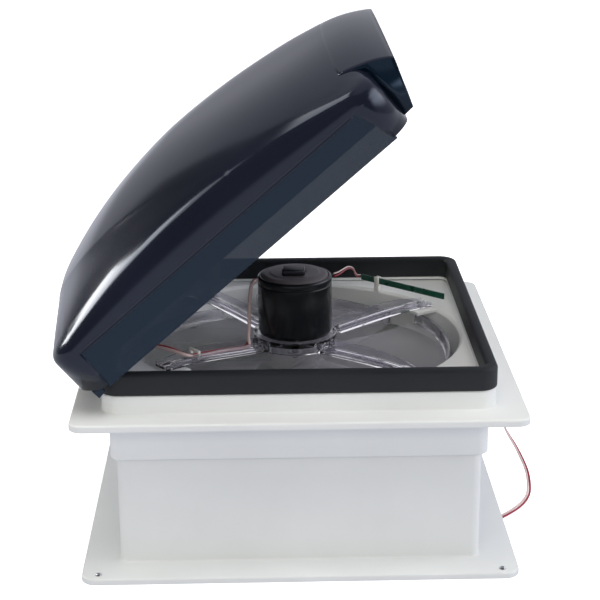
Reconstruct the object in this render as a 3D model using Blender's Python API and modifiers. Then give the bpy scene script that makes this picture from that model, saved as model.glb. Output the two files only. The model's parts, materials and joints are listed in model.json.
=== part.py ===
"""Powered roof vent for a caravan: trim, roof flange, fan, lid and the drive that opens the lid.

Sizes are in millimetres and become metres in place(). The base frame has its origin under the
middle of the trim, X from the hinge to the far end of the lid, Y to the rear and Z up. The lid is
drawn closed, from its hinge axis, and a turned empty opens it.
"""

import math

import bmesh
import bpy
from mathutils import Euler, Matrix, Vector

MM = 0.001
GAP = 0.3  # kept between pieces that touch

# Driving sizes of the base
BASE_SHIFT_X = 11.571  # puts the middle of the whole object, lid open, on the world's Z axis
FLANGE_HALF = 210.6
FLANGE_LOW, FLANGE_TOP = 155.0, 162.3
NECK_HALF, NECK_LOW, WALL = 177.0, 113.7, 2.5
LEDGE_HALF, LEDGE_TOP = 172.8, 179.7
SEAL_HALF, SEAL_TOP = 183.8, 202.0
TRIM_HALF, TRIM_TOP = 206.3, 6.0
TRIM_NECK_HALF, TRIM_NECK_TOP = 171.5, 124.0
SHELF_TOP, SHELF_THICK = 176.0, 3.5
THROAT_R, COLLAR_LOW = 167.5, 140.0

# Motor, spider and fan
MOTOR_R, MOTOR_LOW, MOTOR_TOP = 37.5, 178.3, 238.0
SPIDER_ANGLES = (31.0, 129.0, 218.0, 310.0)
SPIDER_END_R, SPIDER_HALF_WIDTH = 166.0, 10.0
FAN_TIP_R, FAN_HUB_R, FAN_BLADES = 158.0, 30.0, 5

# Lid, in its own directions: along from the hinge end, across and up from its lower edge
LID_OPEN = 41.2
HINGE_X, HINGE_Z = -205.5, 179.0
HINGE_ALONG, HINGE_UP = -33.8, 11.2
LID_MIDDLE, LID_HALF_LONG, LID_HALF_WIDE = 167.0, 193.0, 195.0
LINER_MIDDLE, VISOR_HALF = 171.5, 152.0
LID_CORNER, LID_WALL, ROLL = 24.0, 2.2, 16.0
PANEL_TOP, PANEL_LOW = 44.0, 41.0

# Lid drive: a lever as long as the distance from its pivot to the hinge, so it turns twice as far
LEVER, LEVER_RISE, TRACK_TILT = 112.0, 7.0, 12.0
LEVER_CLOSED = 2 * TRACK_TILT - LEVER_RISE
LEVER_OPEN = LEVER_CLOSED + 2 * LID_OPEN
PIVOT_X = HINGE_X + LEVER * math.cos(math.radians(LEVER_RISE))
PIVOT_Z = HINGE_Z + LEVER * math.sin(math.radians(LEVER_RISE))
WHEEL_TEETH, WHEEL_MODULE, WORM_R = 20, 1.25, 5.0
WHEEL_R = WHEEL_TEETH * WHEEL_MODULE / 2
DRIVE_Y = 159.5
WORM_X = PIVOT_X - WHEEL_R - WORM_R
PIN_R, PIN_HOLE_R = 2.9, 3.0

# colour, roughness, metallic
FINISHES = {
    "white_abs": ((0.80, 0.82, 0.83), 0.45, 0.0),
    "seal_rubber": ((0.02, 0.022, 0.026), 0.7, 0.0),
    "lid_gloss": ((0.035, 0.037, 0.055), 0.18, 0.0),
    "lid_smoke": ((0.03, 0.07, 0.11), 0.25, 0.0),
    "lid_dark": ((0.015, 0.03, 0.035), 0.3, 0.0),
    "clear_plastic": ((0.75, 0.76, 0.80), 0.08, 0.0),
    "motor_black": ((0.008, 0.010, 0.010), 0.35, 0.3),
    "motor_cap": ((0.09, 0.08, 0.09), 0.5, 0.3),
    "black_plastic": ((0.01, 0.01, 0.015), 0.4, 0.0),
    "steel": ((0.6, 0.6, 0.6), 0.3, 1.0),
    "zinc": ((0.5, 0.51, 0.52), 0.45, 1.0),
    "brass": ((0.6, 0.45, 0.2), 0.35, 1.0),
    "board_green": ((0.01, 0.09, 0.06), 0.4, 0.0),
    "wire_red": ((0.25, 0.02, 0.04), 0.4, 0.0),
    "wire_white": ((0.75, 0.62, 0.62), 0.4, 0.0),
    "acetal": ((0.85, 0.85, 0.82), 0.4, 0.0),
    "grey_plastic": ((0.35, 0.37, 0.38), 0.5, 0.0),
    "screen_mesh": ((0.12, 0.12, 0.12), 0.6, 0.0),
}


# ---------------------------------------------------------------- scene and helpers

def clear_scene():
    for obj in list(bpy.data.objects):
        bpy.data.objects.remove(obj, do_unlink=True)


def collection(name):
    made = bpy.data.collections.new(name)
    bpy.context.scene.collection.children.link(made)
    return made


def finish_material(key):
    found = bpy.data.materials.get(key)
    if found:
        return found
    colour, roughness, metallic = FINISHES[key]
    made = bpy.data.materials.new(key)
    made.use_nodes = True
    shader = made.node_tree.nodes["Principled BSDF"]
    shader.inputs["Base Color"].default_value = (*colour, 1.0)
    shader.inputs["Roughness"].default_value = roughness
    shader.inputs["Metallic"].default_value = metallic
    made.diffuse_color = (*colour, 1.0)
    return made


def empty(name, at=(0, 0, 0), turn=(0, 0, 0), parent=None):
    made = bpy.data.objects.new(name, None)
    made.location = Vector(at) * MM
    made.rotation_euler = Euler([math.radians(a) for a in turn])
    made.parent = parent
    PARTS.objects.link(made)
    return made


def place(name, mesh, key, at=(0, 0, 0), turn=(0, 0, 0), parent=None, smooth=40):
    """A named object of this mesh, whose points are in millimetres about its own origin."""
    mesh.transform(Matrix.Scale(MM, 4))
    mesh.materials.clear()
    mesh.materials.append(finish_material(key))
    mesh.shade_smooth()
    mesh.set_sharp_from_angle(angle=math.radians(smooth))
    made = bpy.data.objects.new(name, mesh)
    made.location = Vector(at) * MM
    made.rotation_euler = Euler([math.radians(a) for a in turn])
    made.parent = parent or BASE
    PARTS.objects.link(made)
    return made


def mesh_of(name, bm):
    bmesh.ops.recalc_face_normals(bm, faces=bm.faces)
    mesh = bpy.data.meshes.new(name)
    bm.to_mesh(mesh)
    bm.free()
    return mesh


def box(name, low, high, key, parent=None, round_by=0.0, turn=(0, 0, 0)):
    """A box between two corners, turned about its own middle."""
    low, high = Vector(low), Vector(high)
    bm = bmesh.new()
    bmesh.ops.create_cube(bm, size=1)
    bmesh.ops.scale(bm, vec=high - low, verts=bm.verts)
    made = place(name, mesh_of(name, bm), key, (low + high) / 2, turn, parent)
    if round_by:
        rounded(made, round_by)
    return made


AXIS_TURN = {"X": (0, 90, 0), "Y": (-90, 0, 0), "Z": (0, 0, 0)}


def cylinder(name, radius, length, key, at, axis="Z", parent=None, sides=24):
    """A cylinder that starts at this point and runs along +axis."""
    bm = bmesh.new()
    bmesh.ops.create_cone(
        bm, cap_ends=True, segments=sides, radius1=radius,
        radius2=radius, depth=length,
        matrix=Matrix.Translation((0, 0, length / 2)),
    )
    return place(name, mesh_of(name, bm), key, at, AXIS_TURN[axis], parent)


def rounded(obj, width, segments=1):
    bevel = obj.modifiers.new("rounded_edges", "BEVEL")
    bevel.width = width * MM
    bevel.segments = segments
    bevel.limit_method = "ANGLE"
    bevel.angle_limit = math.radians(40)
    return obj


def turned(name, profile, key, at=(0, 0, 0), axis="Z", parent=None, sides=24):
    """A solid of revolution: (radius, height) points from the top of its outside to the bottom."""
    bm = bmesh.new()
    corners = [bm.verts.new((r, 0, z)) for r, z in profile]
    for a, b in zip(corners, corners[1:]):
        bm.edges.new((a, b))
    if profile[0][0] > 0:
        bm.edges.new((corners[-1], corners[0]))
    mesh = bpy.data.meshes.new(name)
    bm.to_mesh(mesh)
    bm.free()
    made = place(name, mesh, key, at, AXIS_TURN[axis], parent)
    screw = made.modifiers.new("turned", "SCREW")
    screw.steps = screw.render_steps = sides
    screw.use_merge_vertices = True
    screw.merge_threshold = 0.00001
    screw.use_smooth_shade = False
    return made


def loft(name, sections, key, ring=False, at=(0, 0, 0), turn=(0, 0, 0), parent=None,
         curved_ends=False):
    """Skins closed sections of equally many points; a ring joins the last one to the first.

    A section that isn't flat gets its end from strips between its two long sides.
    """
    bm = bmesh.new()
    rows = [[bm.verts.new(p) for p in section] for section in sections]
    pairs = list(zip(rows, rows[1:])) + ([(rows[-1], rows[0])] if ring else [])
    for a, b in pairs:
        for i in range(len(a)):
            j = (i + 1) % len(a)
            bm.faces.new((a[i], a[j], b[j], b[i]))
    for row in [] if ring else [rows[0], rows[-1]]:
        if not curved_ends:
            bm.faces.new(row)
            continue
        for i in range(len(row) // 2 - 1):
            bm.faces.new((row[i], row[i + 1], row[-2 - i], row[-1 - i]))
    return place(name, mesh_of(name, bm), key, at, turn, parent)


def rounded_square(half_x, half_y, radius, z, steps=4):
    """Points of a rounded rectangle, in order; with a radius of the half sizes it is a circle."""
    points = []
    for quarter in range(4):
        sx = 1 if quarter in (0, 3) else -1
        sy = 1 if quarter in (0, 1) else -1
        for i in range(steps + 1):
            angle = math.pi / 2 * (quarter + i / steps)
            x = sx * (half_x - radius) + radius * math.cos(angle)
            y = sy * (half_y - radius) + radius * math.sin(angle)
            points.append(Vector((x, y, z(x, y) if callable(z) else z)))
    return points


def square_ring(name, rings, key, steps=4, **where):
    """A closed frame whose section runs through (half size, corner radius, height) corners."""
    sections = []
    for half, radius, z in rings:
        half_x, half_y = half if isinstance(half, tuple) else (half, half)
        sections.append(rounded_square(half_x, half_y, radius, z, steps))
    return loft(name, sections, key, ring=True, **where)


def flat_outline(name, outlines, low, high, key, axis="Z", at=(0, 0, 0), parent=None, turn=None):
    """A plate from closed outlines, the later ones holes, between two heights along its axis."""
    curve = bpy.data.curves.new(name, "CURVE")
    curve.dimensions = "2D"
    curve.fill_mode = "BOTH"
    curve.extrude = (high - low) / 2
    for outline in outlines:
        spline = curve.splines.new("POLY")
        spline.points.add(len(outline) - 1)
        for point, (x, y) in zip(spline.points, outline):
            point.co = (x, y, 0, 1)
        spline.use_cyclic_u = True
    return curve_mesh(name, curve, key, (low + high) / 2, at, turn or AXIS_TURN[axis], parent)


def curve_mesh(name, curve, key, lift, at, turn, parent):
    """The curve's own solid as a mesh object, its caps welded on."""
    helper = bpy.data.objects.new(name + "_curve", curve)
    PARTS.objects.link(helper)
    bpy.context.view_layer.update()
    graph = bpy.context.evaluated_depsgraph_get()
    mesh = bpy.data.meshes.new_from_object(helper.evaluated_get(graph))
    bpy.data.objects.remove(helper)
    bm = bmesh.new()
    bm.from_mesh(mesh)
    bmesh.ops.remove_doubles(bm, verts=bm.verts, dist=1e-4)
    bmesh.ops.translate(bm, verts=bm.verts, vec=(0, 0, lift))
    return place(name, mesh_of(name, bm), key, at, turn, parent)


def circle(radius, at=(0, 0), sides=24):
    return [
        (at[0] + radius * math.cos(2 * math.pi * i / sides),
         at[1] + radius * math.sin(2 * math.pi * i / sides))
        for i in range(sides)
    ]


def smooth_route(route, spacing):
    """Points about this far apart on a smooth curve through the route's points."""
    points = [Vector(p) for p in route]
    ends = [2 * points[0] - points[1]] + points + [2 * points[-1] - points[-2]]
    fine = []
    for p0, p1, p2, p3 in zip(ends, ends[1:], ends[2:], ends[3:]):
        count = max(2, round((p2 - p1).length / spacing))
        for i in range(count):
            t = i / count
            fine.append(
                0.5 * (2 * p1 + (p2 - p0) * t + (2 * p0 - 5 * p1 + 4 * p2 - p3) * t * t
                       + (3 * p1 - p0 - 3 * p2 + p3) * t ** 3)
            )
    return fine + [points[-1]]


def wire(name, route, diameter, key, spacing=6.0):
    """A wire along a smooth curve through these points."""
    curve = bpy.data.curves.new(name, "CURVE")
    curve.dimensions = "3D"
    curve.bevel_depth = diameter / 2 * MM
    curve.bevel_resolution = 1 if diameter < 2 else 2
    curve.use_fill_caps = True
    spline = curve.splines.new("POLY")
    points = smooth_route(route, spacing)
    spline.points.add(len(points) - 1)
    for point, co in zip(spline.points, points):
        point.co = (*(co * MM), 1)
    curve.materials.append(finish_material(key))
    made = bpy.data.objects.new(name, curve)
    made.parent = BASE
    PARTS.objects.link(made)
    return made


def helper(obj):
    """Marks an object as a Boolean's other half, which isn't a piece itself."""
    PARTS.objects.unlink(obj)
    CUTTERS.objects.link(obj)
    obj.hide_render = True
    obj.display_type = "WIRE"
    return obj


def boolean(obj, operation, *others):
    for other in others:
        modifier = obj.modifiers.new(other.name, "BOOLEAN")
        modifier.operation = operation
        modifier.solver = "EXACT"
        modifier.object = helper(other)
    return obj


def cut(obj, *others):
    return boolean(obj, "DIFFERENCE", *others)


def join(obj, *others):
    return boolean(obj, "UNION", *others)


def smoothstep(t):
    t = min(1.0, max(0.0, t))
    return t * t * (3 - 2 * t)


def polar(radius, degrees, z=0.0):
    angle = math.radians(degrees)
    return Vector((radius * math.cos(angle), radius * math.sin(angle), z))


# ---------------------------------------------------------------- base: trim, flange, seal, shelf

LEAD_NOTCH_Y = (-92.0, -62.0)
GROMMET = (NECK_HALF, 0.0, 131.0)
BUSHING = (-166.0, -75.0)
TRIM_SCREW = (190.0, 197.0)


def roof_flange():
    """The flange that lies on the roof, with the neck below it and the upstand above it."""
    inner = NECK_HALF - WALL
    flange = square_ring("roof_flange", [
        (FLANGE_HALF, 12, FLANGE_LOW), (FLANGE_HALF, 12, FLANGE_TOP - 1.3),
        (FLANGE_HALF - 1.3, 11, FLANGE_TOP), (183.4, 18, FLANGE_TOP),
        (182.6, 17, LEDGE_TOP - 1), (181.6, 16, LEDGE_TOP), (LEDGE_HALF, 9, LEDGE_TOP),
        (LEDGE_HALF, 9, LEDGE_TOP - 2.8), (180.2, 15, LEDGE_TOP - 2.8), (180.2, 15, 160.0),
        (inner, 10, 157.0), (inner, 10, NECK_LOW), (NECK_HALF, 12, NECK_LOW),
        (NECK_HALF, 12, FLANGE_LOW),
    ], "white_abs")
    lead_hole = cylinder("lead_hole", 5.5, 12, "white_abs", (NECK_HALF - 7, *GROMMET[1:]), "X")
    return cut(flange, lead_hole)


def grommet():
    """Rubber ring in the neck's wall, with one bore for the pair of wires."""
    turned("grommet", [
        (8.0, 3.0), (8.0, 0.4), (5.2, 0.4), (5.2, -4.6), (3.4, -4.6), (3.4, 3.0),
    ], "seal_rubber", (GROMMET[0], GROMMET[1], GROMMET[2]), "X", sides=24)


def rim_seal():
    inner = SEAL_HALF - 11
    square_ring("rim_seal", [
        (SEAL_HALF, 18, LEDGE_TOP + GAP), (SEAL_HALF, 18, SEAL_TOP - 3),
        (SEAL_HALF - 1.6, 17, SEAL_TOP - 0.8), (SEAL_HALF - 4, 15, SEAL_TOP),
        (inner + 4, 12, SEAL_TOP), (inner + 1.6, 10, SEAL_TOP - 0.8),
        (inner, 9, SEAL_TOP - 3), (inner, 9, LEDGE_TOP + GAP),
    ], "seal_rubber", steps=5)


def fan_shroud():
    """The white plate inside the rim, with a round hole over the fan and four mounting tabs."""
    low = SHELF_TOP - SHELF_THICK
    plate_half = 179.6

    def round_at(radius, z):
        return (radius, radius, z)

    shroud = square_ring("fan_shroud", [
        (plate_half, 14, low), (plate_half, 14, SHELF_TOP), round_at(THROAT_R + 1.5, SHELF_TOP),
        round_at(THROAT_R, SHELF_TOP - 1.5), round_at(THROAT_R, low),
    ], "white_abs", steps=11)
    for i, angle in enumerate(SPIDER_ANGLES):
        join(shroud, mounting_tab(f"shroud_tab_{i + 1}", angle, (16, 17, 1.9), 1.0))
    cut(shroud,
        cylinder("bushing_hole", 3.4, 12, "white_abs", (*BUSHING, low - 4), sides=16),
        cylinder("worm_shaft_hole", 3.0, 12, "white_abs", (WORM_X, DRIVE_Y, low - 4), sides=16))


def mounting_tab(name, angle, reach, round_by=0.0):
    """A tab that one of the bracket's arms is screwed to, or the cutter that clears it."""
    middle, reach = polar(159, angle, SHELF_TOP - 2.6), Vector(reach)
    return box(name, middle - reach, middle + reach, "white_abs", round_by=round_by,
               turn=(0, 0, angle))


def fan_collar():
    """The ring round the fan's blades, hung under the plate and notched for its tabs."""
    top = SHELF_TOP - SHELF_THICK - GAP
    collar = turned("fan_collar", [
        (THROAT_R + 2.0, top), (THROAT_R + 2.0, COLLAR_LOW), (THROAT_R, COLLAR_LOW),
        (THROAT_R, top),
    ], "white_abs", sides=72)
    cut(collar, *(mounting_tab(f"tab_notch_{i + 1}", angle, (16.4, 17.4, 2.3))
                  for i, angle in enumerate(SPIDER_ANGLES)))


def interior_trim():
    """The frame on the ceiling inside, whose neck slides up into the roof flange's neck."""
    inner = TRIM_NECK_HALF - WALL
    trim = square_ring("interior_trim", [
        (TRIM_HALF, 14, 0.0), (TRIM_HALF, 14, TRIM_TOP - 1), (TRIM_HALF - 1, 13, TRIM_TOP),
        (TRIM_NECK_HALF + 1.5, 10, TRIM_TOP), (TRIM_NECK_HALF, 9, TRIM_TOP + 1.5),
        (TRIM_NECK_HALF, 9, TRIM_NECK_TOP), (inner, 7, TRIM_NECK_TOP), (inner, 7, 3.0),
        (TRIM_HALF - WALL, 12, 3.0), (TRIM_HALF - WALL, 12, 0.0),
    ], "white_abs")
    cut(trim, box("lead_notch", (198, LEAD_NOTCH_Y[0], -4), (212, LEAD_NOTCH_Y[1], 3.6),
                  "white_abs"))
    for i, (sx, sy) in enumerate(((-1, -1), (1, -1), (1, 1), (-1, 1))):
        x, y = sx * TRIM_SCREW[0], sy * TRIM_SCREW[1]
        cut(trim, cylinder(f"trim_hole_{i + 1}", 2.1, 8, "white_abs", (x, y, 0.5), sides=12))
        screw(f"trim_screw_{i + 1}", (x, y, TRIM_TOP), 3.2, 1.6, 2.6)


def screw(name, seat, head_r, shank_r, shank, head=1.7, axis="Z", parent=None, key="steel"):
    """A pan head standing on its seat, with a shank that ends inside the piece it holds."""
    return turned(name, [
        (0, head), (head_r * 0.6, head), (head_r, GAP), (shank_r, GAP), (shank_r, -shank),
        (0, -shank),
    ], key, seat, axis, parent, sides=12)


def insect_screen():
    """A square framed screen low in the neck, notched round the control housing."""
    half, side, notch_x, notch_y = 167.6, 7.0, 50.0, -146.0
    low, high = 42.0, 47.0

    def notched(inset):
        h, nx, ny = half - inset, notch_x + inset, notch_y + inset
        c = 5.0
        return [(-h + c, -h), (-nx, -h), (-nx, ny), (nx, ny), (nx, -h), (h - c, -h),
                (h, -h + c), (h, h - c), (h - c, h), (-h + c, h), (-h, h - c), (-h, -h + c)]

    flat_outline("screen_frame", [notched(0), notched(side)[::-1]], low, high, "white_abs")
    flat_outline("insect_screen", [notched(side + GAP)], 44.2, 45.0, "screen_mesh")


# ---------------------------------------------------------------- motor, spider, fan

def spider_section(radius, low, wall_height, angle):
    """A channel section across an arm of the motor spider, standing across its direction."""
    w, t, floor_t = SPIDER_HALF_WIDTH, 2.0, 2.4
    outline = [(-w, 0), (w, 0), (w, wall_height), (w - t, wall_height), (w - t, floor_t),
               (-w + t, floor_t), (-w + t, wall_height), (-w, wall_height)]
    turn = Matrix.Rotation(math.radians(angle), 3, "Z")
    return [turn @ Vector((radius, y, low + z)) for y, z in outline]


def motor_spider():
    """Clear bracket: a cup under the motor and four channel arms out to the shelf's tabs."""
    hub_low, hub_top = 166.0, MOTOR_LOW - GAP
    spider = turned("motor_spider", [
        (43, hub_top), (43, hub_low), (39, hub_low), (39, hub_low + 6), (9, hub_low + 6),
        (9, hub_top - 2), (30, hub_top - 2), (30, hub_top),
    ], "clear_plastic", sides=30)
    for i, angle in enumerate(SPIDER_ANGLES):
        arm = loft(f"spider_arm_{i + 1}", [
            spider_section(r, low, tall, angle)
            for r, low, tall in ((41, 167.5, 9.5), (70, 170.5, 10.5), (110, 174.5, 9.5),
                                 (140, 176.4, 7.5), (SPIDER_END_R, 176.4, 4.5))
        ], "clear_plastic")
        join(spider, arm)
        seat = polar(157, angle, 176.4 + 2.4)
        cut(spider, cylinder(f"spider_hole_{i + 1}", 2.0, 8, "clear_plastic",
                             (seat.x, seat.y, 174.0), sides=12))
        screw(f"spider_screw_{i + 1}", seat, 3.4, 1.6, 2.2)
    for i, side in enumerate((-1, 1)):
        seat = polar(39.9, 0 if side > 0 else 180, hub_top)
        screw(f"motor_screw_{i + 1}", seat, 2.0, 0.9, 1.2, head=2.2)
        cut(spider, cylinder(f"motor_screw_hole_{i + 1}", 1.2, 4, "clear_plastic",
                             (seat.x, seat.y, hub_top - 2), sides=12))


def motor():
    turned("motor_can", [
        (MOTOR_R - 1.5, MOTOR_TOP), (MOTOR_R, MOTOR_TOP - 1.5), (MOTOR_R, MOTOR_LOW + 1.5),
        (MOTOR_R - 1.5, MOTOR_LOW), (5.0, MOTOR_LOW), (5.0, MOTOR_LOW + 8),
        (MOTOR_R - 3, MOTOR_LOW + 8), (MOTOR_R - 3, MOTOR_TOP),
    ], "motor_black", sides=32)
    turned("motor_end_cap", [
        (0, MOTOR_TOP + 3.2), (26, MOTOR_TOP + 3.2), (32, MOTOR_TOP + 2.2),
        (MOTOR_R - 3.6, MOTOR_TOP + 0.6), (MOTOR_R - 3.6, MOTOR_TOP - 6), (0, MOTOR_TOP - 6),
    ], "motor_cap", sides=32)
    box("motor_terminal", (-13, -17, MOTOR_TOP + 3.2 + GAP), (10, 1, MOTOR_TOP + 9.5),
        "black_plastic", round_by=1.2)


def blade_sections(start):
    """Thin curved sections from the hub out to the blade's tip."""
    sections = []
    for radius, span, rise, sweep in ((25, 46, 12, 0), (62, 55, 12, 4), (110, 57, 11, 11),
                                      (FAN_TIP_R - 1, 57, 9, 18)):
        top, count = [], 5
        for j in range(count + 1):
            t = j / count - 0.5
            top.append(polar(radius, start + sweep + span * t, 155.5 + rise * t * 1.2
                             - 5.0 * t * t))
        sections.append(top + [p - Vector((0, 0, 2.2)) for p in reversed(top)])
    return sections


def tip_sections(start):
    """The upright rim along a blade's tip."""
    sections, count = [], 5
    for j in range(count + 1):
        t = j / count - 0.5
        z = 155.5 + 9 * t * 1.2 - 5.0 * t * t
        at = start + 18 + 57 * t
        sections.append([polar(r, at, z + dz) for r, dz in
                         ((FAN_TIP_R, -3.4), (FAN_TIP_R, 8.0), (FAN_TIP_R - 2.6, 8.0),
                          (FAN_TIP_R - 4.5, -3.4))])
    return sections


def fan():
    """The clear impeller under the motor, its shaft and the nut that holds it."""
    hub_low, hub_top = 146.0, 163.0
    impeller = turned("fan_impeller", [
        (FAN_HUB_R - 2, hub_top), (FAN_HUB_R, hub_top - 3), (FAN_HUB_R, hub_low),
        (FAN_HUB_R - 3, hub_low), (FAN_HUB_R - 4, hub_top - 4), (3.4, hub_top - 4),
        (3.4, hub_top),
    ], "clear_plastic", sides=30)
    for i in range(FAN_BLADES):
        start = -14 + 360 / FAN_BLADES * i
        join(impeller, loft(f"fan_blade_{i + 1}", blade_sections(start), "clear_plastic",
                            curved_ends=True))
        join(impeller, loft(f"fan_tip_{i + 1}", tip_sections(start), "clear_plastic"))
    cylinder("motor_shaft", 3.0, 32, "steel", (0, 0, 149.0), sides=20)
    flat_outline("fan_nut", [circle(7, sides=6), circle(3.4, sides=18)[::-1]],
                 151.5, 158.5, "zinc")


def motor_wiring():
    """The motor's two wires along the front left arm, their clip, and the loom below the shelf."""
    for name, key, side in (("motor_wire_red", "wire_red", 1), ("motor_wire_white",
                                                                "wire_white", -1)):
        s = 1.7 * side
        channel = [polar(r, 218 - math.degrees(s / r), z) for r, z in
                   ((62, 175.2), (85, 177.2), (112, 179.4), (128, 180.6), (139, 184.5))]
        wire(name, [
            (-38.8, -9 + s, 235.0), (-43.5, -10 + s, 231.0), (-46.0, -13 + s, 214.0),
            (-46.5, -20 + s, 196.0), (-47.5, -30 + s, 181.0), *channel,
            (-126 + s * 0.5, -76 + s, 187.5), (-144 + s * 0.5, -66 + s, 187.0),
            (-160 + s * 0.2, -70 + s * 0.8, 184.0),
            (BUSHING[0], BUSHING[1] + s * 0.65, 178.0), (BUSHING[0], BUSHING[1] + s * 0.65, 171.0),
        ], 1.9, key, spacing=6.0)
    clip_at = polar(126, 218)
    clip = box("wire_clip", (clip_at.x - 1.6, clip_at.y - 7.6, 178.3),
               (clip_at.x + 1.6, clip_at.y + 7.6, 187.0), "acetal", turn=(0, 0, 38),
               round_by=0.6)
    cut(clip, box("clip_space", (clip_at.x - 6, clip_at.y - 5.6, 175.0),
                  (clip_at.x + 6, clip_at.y + 5.6, 185.0), "acetal", turn=(0, 0, 38)))
    wire("motor_loom", [
        (BUSHING[0], BUSHING[1], 169.5), (BUSHING[0], BUSHING[1], 158.0),
        (-165.2, -78, 140.0), (-165.0, -86, 110.0), (-163.5, -112, 82.0),
        (-153, -145, 68.0), (-128, -160.5, 66.0), (-95, -162.5, 66.0), (-60, -162.5, 66.0),
        (-46.0, -161.0, 66.0),
    ], 4.6, "black_plastic", spacing=13)
    wire("supply_loom", [
        (GROMMET[0] - 6.5, GROMMET[1], GROMMET[2]), (167.5, -6, 129.0), (165.0, -24, 118.0),
        (165.0, -60, 90.0), (163.5, -110, 72.0), (153, -146, 67.0), (128, -160.5, 66.0),
        (95, -162.5, 66.0), (60, -162.5, 66.0), (46.0, -161.0, 66.0),
    ], 4.6, "black_plastic", spacing=13)


def sensor_board():
    """A slim green board standing across the rear right corner of the shelf, and its two wires."""
    left, right = Vector((77, 147, 189)), Vector((160, 72, 189))
    middle = (left + right) / 2
    length = (right - left).length
    turn = math.degrees(math.atan2(right.y - left.y, right.x - left.x))
    box("sensor_board", middle - Vector((length / 2, 0.8, 3.2)),
        middle + Vector((length / 2, 0.8, 3.2)), "board_green", turn=(0, 0, turn))
    foot = left.lerp(right, 0.2)
    holder = box("board_holder", foot - Vector((3.0, 3.0, 12.5)), foot + Vector((3.0, 3.0, 4.5)),
                 "acetal", turn=(0, 0, turn), round_by=0.6)
    cut(holder, box("board_slot", foot - Vector((6, 1.15, 3.6)), foot + Vector((6, 1.15, 9)),
                    "acetal", turn=(0, 0, turn)))
    for name, key, s in (("sensor_lead_red", "wire_red", -1.0),
                         ("sensor_lead_white", "wire_white", 1.0)):
        wire(name, [
            (39.5, 6 + 1.5 * s, 235.0 + s), (45.5, 14 + 1.5 * s, 234.5 + s),
            (56, 50, 229.0 + s), (64, 92, 215.0 + s), (68.5, 124, 200.0 + s),
            (72.0, 139.5, 192.5 + s), (75.4, 146.6, 190.4 + s * 1.0),
        ], 1.5, key, spacing=7.0)


# ---------------------------------------------------------------- controls and supply

def controls():
    """The housing on the front wall of the neck, with its speed knob and two lid buttons."""
    low, high = 9.0, 70.0
    housing = box("control_housing", (-45.4, -168.4, low), (45.4, -149.0, high), "white_abs",
                  round_by=1.2)
    knob_at, buttons = (-24.0, -158.7), ((8.0, -158.7), (28.0, -158.7))
    cut(housing, cylinder("knob_bore", 4.3, 14, "white_abs", (*knob_at, low - 2)),
        box("housing_hollow", (-43, -166, 22.0), (43, -151.4, 74.0), "white_abs"))
    turned("speed_knob", [
        (0, 10.0), (4.0, 10.0), (4.0, -0.6), (7.6, -0.6), (8.2, -5.4), (7.6, -6.4), (0, -6.4),
    ], "grey_plastic", (*knob_at, low), sides=28)
    for name, (x, y) in zip(("lid_open_button", "lid_close_button"), buttons):
        cut(housing, box(name + "_slot", (x - 5.3, y - 3.8, low - 3), (x + 5.3, y + 3.8, 26.0),
                         "white_abs"))
        box(name, (x - 5, y - 3.5, low - 2.2), (x + 5, y + 3.5, low + 8.0), "grey_plastic",
            round_by=0.8)


def power_lead():
    """The red and white supply wires: out of the neck, down to the floor and under the trim."""
    for name, key, s in (("power_lead_red", "wire_red", 1.0),
                         ("power_lead_white", "wire_white", -1.0)):
        wire(name, power_route(s), 2.2, key, spacing=7.5)


def power_route(s):
    """Route of one supply wire; s is 1 for the red one and -1 for the white one beside it."""
    return [
        (178.5, 1.4 * s, 131.0), (188.0, 1.5 * s, 130.6), (201.0, 0.5 + 1.5 * s, 118.0),
        (210.0, -1.0 + 1.5 * s, 93.0), (219.0, -2.0 + 1.6 * s, 67.0),
        (231.0 + 0.6 * s, -5.0 + 1.6 * s, 46.0), (241.5 + 1.0 * s, -10.0 + 1.3 * s, 23.0),
        (243.0 + 1.4 * s, -20.0 + 1.0 * s, 7.0), (238.0 + 1.5 * s, -34.0, 2.2),
        (226.0 + 1.5 * s, -54.0 - 0.9 * s, 1.5), (207.0 + 1.3 * s, -75.0 - 1.2 * s, 1.4),
        (185.0 + 1.2 * s, -93.0 - 1.4 * s, 1.4), (158.0 + 1.2 * s, -110.0 - 1.4 * s, 1.4),
        (124.0, -124.0 - 1.6 * s, 1.4), (84.0, -130.0 - 1.6 * s, 1.4), (44.0, -128.0 - 1.8 * s, 1.4),
        (8.0, -118.0 - 2.4 * s, 1.4),
    ]


# ---------------------------------------------------------------- lid

def crest_height(along):
    """Height of the lid's crown on its centre line."""
    if along < 155:
        return 108.8 - 35.0 * ((155 - along) / 172) ** 2
    return 108.8 - 26.7 * ((along - 155) / 200) ** 1.5


def shoulder_height(along):
    """Height of the rolled shoulder along the lid's sides."""
    return 80 - 25 * ((along - 171) / 188) ** 2


def lid_height(along, y):
    """Height of the lid's top surface inside the rolled edge."""
    inward = max(0.0, 1 - abs(y) / (LID_HALF_WIDE - ROLL))
    fullness = 1.9 + 1.1 * smoothstep((along - 90) / 170) - 0.7 * smoothstep((along - 290) / 70)
    shoulder, crest = shoulder_height(along), crest_height(along)
    crown = shoulder + (crest - shoulder) * (1 - (1 - inward) ** fullness)
    crease = 32 + 0.572 * (along + 26)
    dip = 5.0 * (1 - smoothstep((along - 90) / 140))
    return crown - dip * smoothstep((abs(y) - crease + 6) / 25) * smoothstep(inward * 8)


def lid_point(along, y, up):
    return Vector((along - HINGE_ALONG, y, up - HINGE_UP))


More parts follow.
